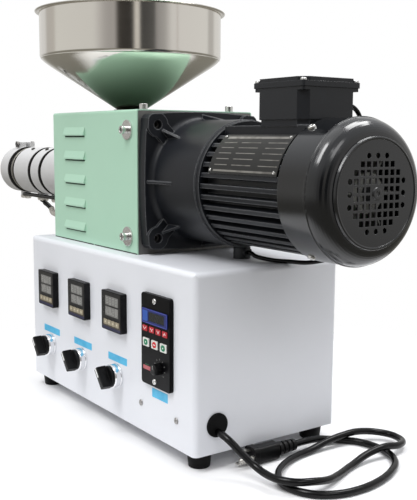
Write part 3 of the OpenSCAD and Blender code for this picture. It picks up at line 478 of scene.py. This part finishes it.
display_up, key_up = 27, 12.3
dress(printed("display_blue", linear(28, 38, 94), linear(34, 46, 108)), "speed_display")
on_speed("display_rim", [(0, 34.7, 52, 0.8, 0), (0, 19.3, 52, 0.8, 0),
                         (-25.7, display_up, 0.8, 16, 0), (25.7, display_up, 0.8, 16, 0)],
         0.15, printed("rim_violet", linear(76, 84, 168), linear(66, 74, 154)), lift=1.2)
on_speed("display_block", [(-19.2, display_up, 10.4, 12, 0)], 0.15,
         printed("block_blue", linear(44, 82, 164), linear(52, 92, 174)), lift=1.2)
on_speed("display_screen", [(4, display_up, 32, 10.2, 0)], 0.5,
         printed("screen_dark", linear(40, 42, 42), linear(34, 35, 37), 0.16), lift=0.6)
dress(printed("key_red", linear(184, 44, 54), linear(168, 38, 47)), "speed_key_row")
key_at = [-20.7, -6.9, 6.9, 20.7]
on_speed("key_marks", [(x + d, key_up, 5.2, 0.8, turn) for x, d, turn in
                       ((key_at[0], 0.8, 40), (key_at[0], -2.2, -40), (key_at[1], 0, -35), (key_at[1], 1.5, 40),
                        (key_at[2], 0, -35), (key_at[2], 1.2, 40), (key_at[3], 0, 0), (key_at[3], -1, 45))],
         0.1, printed("mark_white", linear(236, 214, 212), linear(226, 198, 196)),
         lift=0.8, radius=0.3)
dress(printed("button_white", linear(222, 222, 218), linear(210, 210, 206)), "speed_buttons")
button_right, button_up = 18.2, -3.4
on_speed("button_discs_green", [(x, button_up, 8.0, 6.8, 0) for x in (-button_right, button_right)], 0.3,
         printed("disc_green", linear(12, 122, 84), linear(10, 110, 76)), lift=1.2, radius=3.3)
on_speed("button_disc_red", [(0, button_up, 8.0, 6.8, 0)], 0.3,
         printed("disc_red", linear(200, 36, 44), linear(186, 32, 40)), lift=1.2, radius=3.3)
on_speed("button_marks", [(-button_right, button_up, 1.6, 1.6, 45), (button_right, button_up, 1.6, 1.6, 45),
                          (0, button_up, 4.4, 0.9, 0)], 0.1,
         printed("mark_pale", linear(232, 236, 232), linear(220, 224, 220)), lift=1.5, radius=0.2)
on_speed("lamp_block", [(-16.4, -33.2, 18, 4.6, 0)], 0.25,
         printed("lamp_pink", linear(176, 92, 97), linear(160, 80, 86)), radius=0.5)
on_speed("lamp_mark", [(-17.5, -29.6, 8, 0.9, 0)], 0.1,
         printed("lamp_green", linear(36, 92, 62), linear(30, 80, 54)))
scale_turns = np.radians(np.linspace(-135, 135, 9))
scale_r, knob_right, knob_up = 10.4, 9.5, -28.5
tick_grey = printed("tick_grey", linear(150, 150, 148), linear(124, 124, 122))
on_speed("scale_ticks", [(knob_right + scale_r * np.sin(a), knob_up + scale_r * np.cos(a), 0.6, 2.0, -np.degrees(a))
                         for a in scale_turns], 0.06, tick_grey, radius=0.25)
bright_screw = plated_steel("bright_screw", linear(226, 226, 224), linear(188, 187, 184), 0.16)
speed_screw_x, speed_screw_zs = 136.5, (159, 67.8)
skin("speed_screws", [turned(pan_head(3.6, 1.8), spot(speed_screw_x, -speed_out, z), front, 24)
                      for z in speed_screw_zs], "machine", bright_screw)
knob_shape = eased([(0, 0.4), (6.5, 0.4), (6.4, 2), (5.9, 8.4), (4.9, 9.4), (0, 9.4)], 0.8)
knob_foot = spot(speed_x + knob_right, -speed_out, speed_z + knob_up)
knob = skin("knob_cap", [turned(knob_shape, knob_foot, front, 96, waves=24, depth=0.03)], "knob",
            handle_black, sharp=50)
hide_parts("speed_knob")
skin("knob_line", [plate(knob_foot + 0.0026 * z_axis, 0.9, 4.6, 0.3, [(0, 9), (0, 9.4), (0.1, 9.6)])], "knob",
     tick_grey)


# Gear housing
# A bent sheet cover, sprayed mint green, with pressed louvres on both long sides and painted shade in dark strips under
# them.
# It stands on the cabinet over a dark strip of painted shadow at its foot, and cap screws on washers hold it to the
# grey steel blocks inside.
cover_mint = powder_coat("cover_mint", linear(174, 213, 189), linear(168, 207, 184), 0.36, peel=0.00003, edge=0.0012)
dress(cover_mint, "housing_cover")


def ground_steel(name, colour, shade, roughness, stretch, metal=1.0):
    """Ground or rolled steel, bright or dulled to a paler grey: fine lines along one way and cloudy stains."""
    material, shader, here = new_finish(name, Metallic=metal)
    stain = noise(here, 26.0, 4.0)
    lines = noise(here, 1100.0, 2.0, stretch)
    feed(shader, Base_Color=blend(stain, colour, shade), Roughness=roughness + 0.16 * stain + 0.1 * lines,
         Normal=dents(lines, 0.00002, 0.0006))
    return material


block_steel = ground_steel("block_steel", linear(140, 140, 138), linear(120, 119, 116), 0.42, (1, 1, 0.03))
dress(block_steel, "motor_plate", "feed_block")


def socket_head(radius, height):
    """Half section in mm of a socket cap head: straight sides, an eased top edge and a blind socket."""
    return eased([(0, 0), (radius, 0), (radius, height), (0.55 * radius, height), (0.5 * radius, 0.4 * height),
                  (0, 0.4 * height)], 0.13 * radius)


cover_y, cover_half, cover_top = 108, 85, 371.5
washer_t, cover_screw_x, top_screw_x = 2, 29.5, 32
washer = [(3, 0), (12, 0), (12, 1.6), (11.4, washer_t), (3, washer_t), (3, 0)]
cover_screws = [(side, z) for side in (-1, 1) for z in (347.5, 219.3)]
skin("cover_washers", [turned(washer, spot(cover_screw_x, cover_y + cover_half * side, z), (0, side, 0), 40)
                       for side, z in cover_screws], "machine", bright_screw)
screw = socket_head(5, 7.5)
side_screws = [turned(screw, spot(cover_screw_x, cover_y + (cover_half + washer_t) * side, z), (0, side, 0), 28)
               for side, z in cover_screws]
top_screws = [turned(screw, spot(top_screw_x, y, cover_top), z_axis, 28) for y in (44, 172)]
skin("cover_screws", side_screws + top_screws, "machine", bright_screw)
# Dark green strips just under each louvre's lip: painted shade under the hoods.
louvre_shade_paint = moulded("louvre_shade_paint", linear(44, 66, 54), linear(60, 86, 72), 0.7)
louvre_x, louvre_z, louvre_pitch, louvre_w = -112.5, 214, 31.4, 58
skin("louvre_shade_strips", [plate(spot(louvre_x, cover_y + cover_half * side, louvre_z + louvre_pitch * k), louvre_w, 2, 0.9,
                            [(0, -1), (0, 0.12), (0.1, 0.2)], -side * x_axis, count=3)
                      for side in (-1, 1) for k in range(5)], "machine", louvre_shade_paint)
# A dark strip along the foot of the cover on both sides: painted shadow in the gap over the cabinet top.
gap_shadow_black = moulded("gap_shadow_black", linear(34, 36, 35), linear(60, 62, 60), 0.7)
gap_shadow_z, gap_shadow_runs = 199.6, ((-119, 116), (-3.5, 109))
skin("cover_gap_shadow", [plate(spot(x, cover_y + cover_half * side, gap_shadow_z), w, 1.3, 0.3, [(0, -1), (0, 0.25)],
                          -side * x_axis) for side in (-1, 1) for x, w in gap_shadow_runs], "machine", gap_shadow_black)


# Hopper
# A spun stainless funnel, polished outside: a straight bowl with a rolled rim is welded flush to the round
# shoulder of the cone, and a turned collar seats the cone's neck on the housing.
hopper_foot = spot(-108.5, cover_y, 376.5)
bowl_r, neck_r, sheet_t = 123.0, 19.0, 1.2
neck_end, cone_top, seam_z, bowl_top = -24, 66, 75.2, 127.2
curl = np.radians(np.linspace(-135, 180, 22))
rim = np.stack([125.3 + 3.5 * np.cos(curl), 128.5 + 1.4 * np.sin(curl)], -1)
bowl_in, neck_in = bowl_r - sheet_t, neck_r - sheet_t
bowl_shape = np.concatenate([[(bowl_in, seam_z), (bowl_r, seam_z), (bowl_r, bowl_top)], rim, [(bowl_in, seam_z)]])
shoulder = eased([(neck_r, 0), (bowl_r, cone_top), (bowl_r, seam_z + sheet_t)], 16, 9)[:-1]
cone_shape = np.concatenate([[(neck_in, neck_end), (neck_r, neck_end)], shoulder, [
    (bowl_r, seam_z), (bowl_in, seam_z), (bowl_in, cone_top + 1), (neck_in, sheet_t), (neck_in, neck_end)]])
# Heights in metres between which the cone takes on a painted reflection of the shaded green cover.
green_reflection_top, green_reflection_full = 0.47, 0.40


def polished_sheet(name, colour, shade, roughness):
    """Polished stainless sheet: fine turning rings, faint cloudy smears, and towards the neck a dark green painted
    reflection of the shaded cover below.
    """
    material, shader, here = new_finish(name, Metallic=1.0)
    rings = noise(here, 1300.0, 2.0, (0.01, 0.01, 1))
    smear = noise(here, 14.0, 3.0, (1, 1, 0.6))
    # Towards the neck the colour turns dark green: a painted reflection of the shaded cover below.
    painted_reflection = step(here.node("SeparateXYZ", {}, {0: here}, out=2), green_reflection_top, green_reflection_full)
    feed(shader, Base_Color=blend(0.85 * painted_reflection, blend(smear, colour, shade), (0.085, 0.12, 0.075)),
         Roughness=roughness + 0.1 * smear + 0.06 * rings, Normal=dents(rings, 0.000006))
    return material


hopper_steel = polished_sheet("hopper_steel", (0.80, 0.77, 0.715), (0.74, 0.71, 0.66), 0.05)
bowl = skin("bowl", [turned(bowl_shape, hopper_foot, z_axis, 160)], "machine", hopper_steel, sharp=40)
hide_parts("hopper_bowl")
cone = skin("cone", [turned(cone_shape, hopper_foot, z_axis, 160)], "machine", hopper_steel, sharp=25)
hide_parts("hopper_cone")
collar_steel = ground_steel("collar_steel", linear(168, 167, 164), linear(146, 145, 142), 0.32, (1, 1, 0.02))
dress(collar_steel, "throat_collar")


# Barrel
# A turned steel barrel under four rolled heater bands, with dark rings of painted shade on three band edges that widen
# the gaps between them. The first is clamped by two ears and a bolt; each band has two ceramic posts below it, with
# black leads that run back in woven sleeves.
barrel_y, barrel_z = 108.0, 283.0
band_r, band_xs = 39.0, (-481.5, -409, -353.5, -298)
ring_x, gap_shade_xs = -451.8, (-463, -378, -337)
dress(ground_steel("barrel_steel", linear(92, 90, 87), linear(66, 64, 62), 0.38, (1, 0.02, 0.02)),
      "barrel", "barrel_flange", "die_head")
band_steel = ground_steel("band_steel", linear(214, 214, 215), linear(204, 204, 204), 0.3, (1, 0.02, 0.02), metal=0.3)
dress(band_steel, *(f"heater_band_{k}" for k in (1, 2, 3, 4)))
groove_ring = eased([(36, -2.6), (38, -2), (38, 2), (36, 2.6), (36, -2.6)], 0.8)
skin("groove_ring", [turned(groove_ring, spot(ring_x, barrel_y, barrel_z), x_axis, 72)], "machine",
     ground_steel("ring_steel", linear(158, 156, 148), linear(136, 134, 127), 0.34, (1, 0.02, 0.02)))
# Dark rings over three band edges that make the gaps look wider: painted shade between the bands.
gap_shade_dark = ground_steel("gap_shade_dark", linear(44, 42, 40), linear(30, 29, 28), 0.5, (1, 0.02, 0.02), metal=0.3)
gap_shade_ring = eased([(35, -2.6), (39.3, -2.6), (39.3, 0.3), (35, 0.3), (35, -2.6)], 0.3)
skin("band_gap_shades", [turned(gap_shade_ring, spot(x, barrel_y, barrel_z), x_axis, 72) for x in gap_shade_xs], "machine",
     gap_shade_dark)
dress(ground_steel("nozzle_brass", linear(196, 164, 92), linear(170, 138, 74), 0.28, (1, 0.05, 0.05)), "nozzle")
dark_screw = plated_steel("dark_screw", linear(104, 102, 100), linear(62, 61, 60), 0.28)
clamp_z = barrel_z + 43.4
nut = eased([(0, 0), (5.6, 0), (5.6, 4), (0, 4)], 0.5)
shank = [(0, -13), (2.6, -13), (2.6, 13), (0, 13)]
skin("clamp_bolt", [turned(nut, spot(band_xs[0], barrel_y + 12 * s, clamp_z), (0, s, 0), 6) for s in (-1, 1)] +
     [turned(shank, spot(band_xs[0], barrel_y, clamp_z), y_axis, 20)], "machine", dark_screw)
lean_y, lean_z = -np.sin(np.radians(24)), np.cos(np.radians(24))
skin("band_screws", [turned(pan_head(3.4, 2.2), spot(x, barrel_y + band_r * lean_y, barrel_z + band_r * lean_z),
                            (0, lean_y, lean_z), 20) for x in band_xs[1:]], "machine", dark_screw)
post_cap = eased([(0, 0), (6.2, 0), (6.2, 2.5), (4.5, 5), (0, 5)], 0.8)
post_gap, post_z = 8, barrel_z - 46
skin("post_caps", [turned(post_cap, spot(x + s * post_gap, barrel_y, post_z), -z_axis, 24)
                   for x in band_xs for s in (-1, 1)], "machine",
     moulded("ceramic", linear(214, 210, 202), linear(196, 190, 180), 0.45))


def smooth_path(points, count):
    """Catmull-Rom curve through the points, count steps between each two."""
    p = np.asarray(points, float)
    p = np.concatenate([2 * p[:1] - p[1:2], p, 2 * p[-1:] - p[-2:-1]])
    t = np.linspace(0, 1, count, endpoint=False)[None, :, None]
    a, b, c, d = (p[k:len(p) - 3 + k, None] for k in range(4))
    run = 0.5 * (2 * b + (c - a) * t + (2 * a - 5 * b + 4 * c - d) * t ** 2 + (3 * b - a - 3 * c + d) * t ** 3)
    return np.concatenate([run.reshape(-1, 3), p[-2:-1]])


def tube(path, radius, sides=16):
    """Round tube: rings of the radius, square to the path, closed at its ends."""
    heading = np.gradient(path, axis=0)
    heading = heading / np.linalg.norm(heading, axis=1, keepdims=True)
    side = np.cross(heading, (0.01, 0.02, 1.0))
    side = side / np.linalg.norm(side, axis=1, keepdims=True)
    over = np.cross(side, heading)
    a = np.linspace(0, 2 * np.pi, sides + 1)[None, :, None]
    rings = path[:, None] + radius * (side[:, None] * np.cos(a) + over[:, None] * np.sin(a))
    ends = [np.repeat(path[k][None, None], sides + 1, axis=1) for k in (0, -1)]
    return np.concatenate([ends[0], rings, ends[1]])


def cable_sheath(name, colour, shade, roughness):
    """Extruded cable sheath: dark vinyl with a soft sheen, faint ripples and a little floor dust."""
    material, shader, here = new_finish(name, Specular_IOR_Level=0.24)
    dust = step(noise(here, 60.0, 4.0), 0.5, 0.8)
    feed(shader, Base_Color=blend(dust * 0.5, colour, shade), Roughness=roughness + 0.2 * dust,
         Normal=dents(noise(here, 420.0, 2.0), 0.00006))
    return material


def woven_sleeve(name, colour, shade):
    """Woven glass sleeving: a fine criss-cross of pale threads with darker gaps."""
    material, shader, here = new_finish(name, Roughness=0.85)
    weave = noise(here, 1200.0, 2.0, (1, 3, 3))
    feed(shader, Base_Color=blend(step(weave, 0.4, 0.6), shade, colour), Normal=dents(weave, 0.0002))
    return material


sheath_black = cable_sheath("sheath_black", linear(10, 10, 11), linear(30, 30, 30), 0.2)
lead_r, sleeve_r = 0.0032, 0.0042
leads, sleeves = [], []
for lead_y, start in ((104, -401), (112, -417), (107, -345.5), (111, -290)):
    run = [(start, barrel_y, 233), (start + 6, lead_y, 229.5), (start + 18, lead_y, 226), (start + 32, lead_y, 221)]
    on = [(start + 32, lead_y, 221), (start + 52, lead_y, 213), (-228, lead_y + 2, 206), (-206, lead_y + 3, 203),
          (-192, lead_y + 3, 199)]
    leads.append(tube(smooth_path([spot(*q) for q in run], 6), lead_r, 12))
    sleeves.append(tube(smooth_path([spot(*q) for q in on], 8), sleeve_r, 14))
under = [(-474, 104, 238.5), (-466, 98, 240.5), (-440, 97, 241), (-378, 97, 241), (-320, 97, 241), (-268, 98, 239),
         (-242, 100, 229), (-222, 104, 215), (-206, 107, 206), (-192, 108, 199)]
leads.append(tube(smooth_path([spot(*q) for q in under], 8), lead_r, 12))
skin("heater_leads", leads, "machine", sheath_black, sharp=60)
skin("heater_sleeves", sleeves, "machine",
     woven_sleeve("sleeve_pale", linear(206, 202, 194), linear(150, 146, 138)), sharp=60)


# Motor
# A satin charcoal flange motor: a cast bell with a bowed square flange, pads and gusset ribs, a finned body
# with a flat pad for the terminal box, and a dark rating plate riveted over the fins.
def cast_paint(name, colour, shade, roughness, skin_depth=0.00005, edge=0.002, gloss=0.28, coat=0.0, edge_wear_and_highlight=0.65):
    """Satin paint on a casting: a slightly lumpy skin, cloudy sheen, edges painted paler, partly as rubbed wear and
    partly as a painted highlight, and chips worn bare.
    """
    material, shader, here = new_finish(name, Specular_IOR_Level=gloss, Coat_Weight=coat, Coat_Roughness=0.12)
    cloud = noise(here, 24.0, 4.0)
    lumps = noise(here, 520.0, 3.0)
    rim = edges(here, edge)
    chips = rim * step(noise(here, 300.0, 3.0), 0.58, 0.64)
    # Edges turn paler: partly rubbed wear, partly a painted highlight along them; the chips are bare metal.
    feed(shader, Base_Color=blend(edge_wear_and_highlight * rim + 0.45 * chips, blend(0.3 * cloud, colour, shade), linear(136, 138, 141)),
         Roughness=roughness + 0.14 * cloud, Normal=dents(lumps, skin_depth, edge))
    return material


motor_black = cast_paint("motor_black", linear(22, 24, 28), linear(58, 60, 65), 0.3)
dress(motor_black, "motor_bell", "motor_body", "rear_shield")
axis_y, axis_z = 108.0, 286.5
flange_x, bolt_half = 56, 67
skin("flange_screws", [turned(socket_head(5.2, 8), spot(flange_x, axis_y + sy, axis_z + sz), x_axis, 28)
                       for sy in (-bolt_half, bolt_half) for sz in (-bolt_half, bolt_half)],
     "machine", dark_screw)
rating_plate = cast_paint("rating_plate", linear(40, 40, 39), linear(50, 49, 48), 0.34, skin_depth=0.00001, edge=0.0002)
dress(rating_plate, "nameplate")


def arc_bar(start, end, low, high, inner, outer):
    """Thin bar on the motor's round, in mm: a closed section between two angles (degrees over the front) and two
    radii, drawn along the axis and pinched at its ends."""
    a, r = np.radians((low, low, high, high, low)), np.array((inner, outer, outer, inner, inner))
    ring = np.stack([0 * a, axis_y - r * np.cos(a), axis_z + r * np.sin(a)], -1)
    rows = np.stack([0 * ring + ring[:4].mean(0), ring, ring, 0 * ring + ring[:4].mean(0)])
    rows[:, :, 0] = np.array((start, start, end, end))[:, None]
    return (rows + cabinet_foot) / 1000


rule_in, rule_out, rivet_r = 70.0, 70.28, 70.2
rules = [(182, 286, 48.0, 1.3)] + [(a, b, c, 0.35) for c in (42.0, 36.5, 31.0, 25.5, 20.0)
                                   for a, b in ((182, 204), (212, 244), (256, 286))] + [(182, 286, 14.8, 0.8)]
skin("plate_rules", [arc_bar(a, b, c - h, c + h, rule_in, rule_out) for a, b, c, h in rules], "machine",
     printed("rule_pale", linear(122, 120, 115), linear(92, 90, 86)))
skin("plate_rivets", [turned(pan_head(1.8, 0.9), spot(x, axis_y - rivet_r * np.cos(a), axis_z + rivet_r * np.sin(a)),
                             (0, -np.cos(a), np.sin(a)), 16) for x in (177, 283) for a in np.radians((15, 49))],
     "machine", bright_screw)


# Fan cover
# A deep-drawn sheet cap in semi-gloss black, with a bead, a small boss and square holes in its end. Four
# pan-head screws hold it to the rear shield, and a grey moulded fan shows behind the holes.
cover_end, skirt_x, skirt_r = 355, 303, 72.2
cover_black = cast_paint("fan_cover_black", linear(13, 15, 18), linear(26, 28, 32), 0.12, skin_depth=0.000005,
                         edge=0.0012, gloss=0.4, coat=0.5, edge_wear_and_highlight=0.1)
dress(cover_black, "fan_cover")
rim_ring = eased([(51, -1), (51, 0), (52.4, 0.9), (54, 0.4), (55, -2.6), (51, -2.6), (51, -1)], 0.6)
skin("cover_rim", [turned(rim_ring, spot(cover_end, axis_y, axis_z), x_axis, 120)], "machine",
     cover_black)
boss = eased([(0, 0.3), (2.1, 0.3), (2.4, 1.3), (5.6, 1.3), (6.4, 0), (6.4, -0.6), (0, -0.6)], 0.4)
skin("cover_boss", [turned(boss, spot(cover_end, axis_y, axis_z), x_axis, 40)], "machine",
     cover_black)
dress(moulded("fan_grey", linear(160, 160, 156), linear(140, 140, 136), 0.5), "fan")
around = np.radians((31, 152, -31, -152))
skin("cover_pins", [turned(pan_head(4.4, 2.8),
                           spot(skirt_x, axis_y - skirt_r * np.sin(a), axis_z + skirt_r * np.cos(a)),
                           (0, -np.sin(a), np.cos(a)), 24) for a in around], "machine", bright_screw)


# Terminal box
# A black moulded box with cut corners under a stepped lid, which four bright screws hold at its corners. A
# gland on its back lets the motor's lead out, and another one takes the lead into the cabinet's top.
box_black = moulded("box_black", linear(28, 30, 34), linear(64, 66, 70), 0.4, edge=0.0007)
dress(box_black, "terminal_box", "terminal_lid", "cable_gland", "lead_gland")
box_x, lid_screw, lid_z = 252, 35.2, 394.5
skin("lid_screws", [turned(pan_head(3.6, 2.6), spot(box_x + lid_screw * sx, axis_y + lid_screw * sy, lid_z), z_axis, 24)
                    for sx in (-1, 1) for sy in (-1, 1)], "machine", bright_screw)
sweep = np.array([(0.075, 16.5), (0.18, 5.5), (0.34, 0), (0.5, 0), (0.64, 0), (0.77, 1), (0.88, 2.5)])
lead_x, lead_end_x, back_y, entry_y, gland_z, motor_lead_r = 260.0, 153.0, 181.25, 112.0, 373.0, 0.0025
lead_points = ([(lead_x, 158.25 + d, gland_z + h) for d, h in ((0, 0), (4, 0), (11, -2), (18, -8), (22, -17))] +
               [(lead_x, back_y, z) for z in np.arange(gland_z - 34, 235, -20)] +
               [(lead_x + (lead_end_x - lead_x) * t, back_y + (entry_y - back_y) * (1 - (1 - t) ** 2), 201.5 + h)
                for t, h in sweep] + [(lead_end_x + 5, entry_y, 207), (lead_end_x, entry_y, 207)])
lead = skin("lead", [tube(smooth_path([spot(*q) for q in lead_points], 5), motor_lead_r, 14)], "machine",
            sheath_black, sharp=60)
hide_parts("motor_lead")


# Power cord
# A round black sheathed lead of 0.9 m: it leaves the grommet in the right side, falls to the floor
# and lies there in one and a half loose loops up to a moulded plug beside the cabinet.
cord_d = 0.008
lo, hi = 0.004, 0.013
plug_x, plug_z, relief_y = 0.3045, 0.0105, 0.02355
cord_points = [
    (0.295, -0.07645, 0.0425), (0.299, -0.07645, 0.0425), (0.313, -0.07445, 0.038), (0.327, -0.06845, 0.027),
    (0.342, -0.06245, 0.017), (0.358, -0.06045, hi), (0.376, -0.05845, hi), (0.391, -0.04845, hi),
    (0.398, -0.03045, 0.012), (0.396, -0.00945, 0.008), (0.388, 0.01255, 0.005), (0.376, 0.04355, lo),
    (0.371, 0.07255, 0.009), (0.373, 0.09755, hi), (0.373, 0.12155, 0.010), (0.362, 0.14055, 0.008),
    (0.341, 0.14455, 0.008), (0.325, 0.13055, 0.010), (0.320, 0.10755, hi), (0.318, 0.08455, 0.012),
    (0.317, 0.06155, 0.009), (0.318, 0.03855, 0.005), (0.321, 0.01455, lo), (0.330, -0.01045, lo),
    (0.345, -0.03245, lo), (0.365, -0.04645, lo), (0.388, -0.04845, lo), (0.408, -0.03845, lo),
    (0.421, -0.01745, lo), (0.425, 0.00855, lo), (0.422, 0.03655, lo), (0.413, 0.06455, lo),
    (0.397, 0.09055, lo), (0.374, 0.10555, lo), (0.348, 0.10855, lo), (0.325, 0.10155, lo),
    (0.310, 0.08455, 0.005), (0.305, 0.06255, 0.009), (plug_x, 0.04255, plug_z), (plug_x, relief_y, plug_z),
]
cord_line = smooth_path(cord_points, 8)
cord_line[:, 2] = np.maximum(cord_line[:, 2], cord_d / 2)
cord = skin("power_lead", [tube(cord_line, cord_d / 2, 20)], "machine", sheath_black, sharp=60)
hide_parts("power_cord")
plug_black = moulded("plug_black", linear(14, 14, 15), linear(46, 46, 46), 0.32, edge=0.0006, gloss=0.2)
dress(plug_black, "plug")
dress(moulded("grommet_black", linear(7, 7, 8), linear(22, 22, 23), 0.6, gloss=0.15), "cord_grommet")
dress(plated_steel("blade_metal", linear(214, 212, 206), linear(188, 185, 178), 0.2), "plug_prongs")
